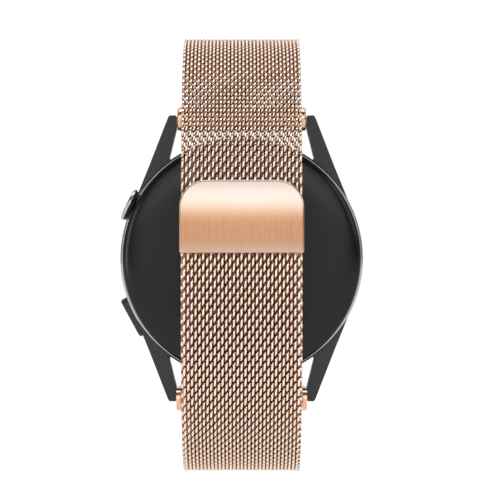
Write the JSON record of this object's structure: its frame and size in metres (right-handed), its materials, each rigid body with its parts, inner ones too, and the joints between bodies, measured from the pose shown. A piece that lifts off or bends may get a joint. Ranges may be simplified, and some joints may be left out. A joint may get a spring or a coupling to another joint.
{
  "type": "smartwatch",
  "caption": "Round smartwatch with a crown and a side button, on a closed loop band of woven wire with a folded magnetic clasp and quick-release spring bars.",
  "frame": {"origin": "centre of the contact face on the case back", "axes": "+Z towards 12 o'clock, +Y towards the display side, +X away from the crown; the clasp is on -Y"},
  "size_m": [0.0412, 0.0589, 0.0702],
  "materials": {
    "case_metal": "satin, dark grey",
    "cover_metal": "satin, dark grey",
    "polished_dark": "polished, dark",
    "rose_gold": "polished",
    "rose_gold_brushed": "fine brushed",
    "rose_gold_woven": "woven wire",
    "black_glass": "gloss",
    "steel": "satin",
    "copper": "wound wire",
    "gold_film": "thin film",
    "ferrite": "matte",
    "circuit_board": "solder mask",
    "chip_black": "matte",
    "frame_plastic": "matte",
    "seal_rubber": "matte",
    "cell_wrap": "satin",
    "magnet_metal": "plated"
  },
  "bodies": {
    "case": {"middle_case": "case_metal", "back_cover": "cover_metal", "back_gasket": "seal_rubber", "sensor_window": "black_glass", "skin_electrodes": "steel", "optical_sensors": "chip_black", "light_shroud": "frame_plastic", "sensor_board": "circuit_board", "charging_coil": "copper", "ferrite_sheet": "ferrite", "battery": "cell_wrap", "inner_frame": "frame_plastic", "frame_screws": "steel", "main_board": "circuit_board", "main_chips": "chip_black", "board_shield": "steel", "vibration_motor": "steel", "speaker": "frame_plastic", "microphone": "gold_film", "antenna_strip": "gold_film", "display_panel": "black_glass", "display_ribbon": "gold_film", "glass_gasket": "seal_rubber", "front_glass": "black_glass", "bezel_ring": "polished_dark", "switch_bracket": "steel", "crown_tube": "steel", "crown_switch": "chip_black", "rotation_sensor": "chip_black", "side_button_switch": "chip_black"},
    "crown_pusher": {"crown_thrust_cap": "frame_plastic"},
    "crown": {"crown_knob": "polished_dark", "crown_seals": "seal_rubber", "crown_clip": "steel"},
    "side_button": {"side_button_cap": "case_metal", "side_button_seal": "seal_rubber", "side_button_clip": "steel"},
    "upper_strap": {"band_end_tube": "rose_gold", "upper_bar_barrel": "steel", "upper_fixed_pin": "steel", "upper_bar_spring": "steel", "upper_band": "rose_gold_woven"},
    "upper_release": {"upper_release_pin": "steel"},
    "front_strap": {"front_band": "rose_gold_woven"},
    "lower_strap": {"lower_band": "rose_gold_woven"},
    "tail": {"tail_band": "rose_gold_woven"},
    "tail_end": {"tail_end_band": "rose_gold_woven", "tab_cover": "rose_gold_brushed", "tab_magnet": "magnet_metal", "tab_backing": "rose_gold"},
    "slot_frame": {"slot_frame": "rose_gold", "lower_bar_barrel": "steel", "lower_fixed_pin": "steel", "lower_bar_spring": "steel"},
    "lower_release": {"lower_release_pin": "steel"}
  },
  "joints": [
    {"name": "crown_press", "type": "slide", "parent": "case", "child": "crown_pusher", "axis": [0.9026, 0, -0.4305], "range_m": [0, 0.0004], "stiffness_N_per_m": 3000},
    {"name": "crown_spin", "type": "hinge", "parent": "crown_pusher", "child": "crown", "pos_m": [-0.01941, 0.0056, 0.00926], "axis": [-0.9026, 0, 0.4305], "continuous": true},
    {"name": "side_button_press", "type": "slide", "parent": "case", "child": "side_button", "axis": [0.8788, 0, 0.4772], "range_m": [0, 0.0004], "stiffness_N_per_m": 3000},
    {"name": "band_sway", "type": "hinge", "parent": "case", "child": "upper_strap", "pos_m": [0, 0.0024, 0.0229], "axis": [1, 0, 0], "range_deg": [-8, 8]},
    {"name": "upper_corner_flex", "type": "hinge", "parent": "upper_strap", "child": "front_strap", "pos_m": [0, -0.03664, 0.02687], "axis": [1, 0, 0], "range_deg": [-7.2, 7.2]},
    {"name": "lower_corner_flex", "type": "hinge", "parent": "front_strap", "child": "lower_strap", "pos_m": [0, -0.03664, -0.02582], "axis": [1, 0, 0], "range_deg": [-7.2, 7.2]},
    {"name": "slot_frame_pivot", "type": "hinge", "parent": "case", "child": "slot_frame", "pos_m": [0, 0.0024, -0.0229], "axis": [1, 0, 0], "range_deg": [-8, 8]},
    {"name": "clasp_open", "type": "hinge", "parent": "lower_strap", "child": "tail", "pos_m": [0, -0.004, -0.0236], "axis": [1, 0, 0], "range_deg": [0, 60]},
    {"name": "tail_corner_flex", "type": "hinge", "parent": "tail", "child": "tail_end", "pos_m": [0, -0.03664, -0.02582], "axis": [1, 0, 0], "range_deg": [-7.2, 7.2]},
    {"name": "upper_release_slide", "type": "slide", "parent": "upper_strap", "child": "upper_release", "axis": [-1, 0, 0], "range_m": [0, 0.0013], "stiffness_N_per_m": 1200, "deforming": ["upper_bar_spring"]},
    {"name": "lower_release_slide", "type": "slide", "parent": "slot_frame", "child": "lower_release", "axis": [-1, 0, 0], "range_m": [0, 0.0013], "stiffness_N_per_m": 1200, "deforming": ["lower_bar_spring"]}
  ],
  "couplings": [
    {"joint": "upper_corner_flex", "follows": "band_sway", "ratio": -0.8693},
    {"joint": "lower_corner_flex", "follows": "band_sway", "ratio": 0.8693},
    {"joint": "slot_frame_pivot", "follows": "band_sway", "ratio": 1},
    {"joint": "tail_corner_flex", "follows": "band_sway", "ratio": -0.8693}
  ]
}
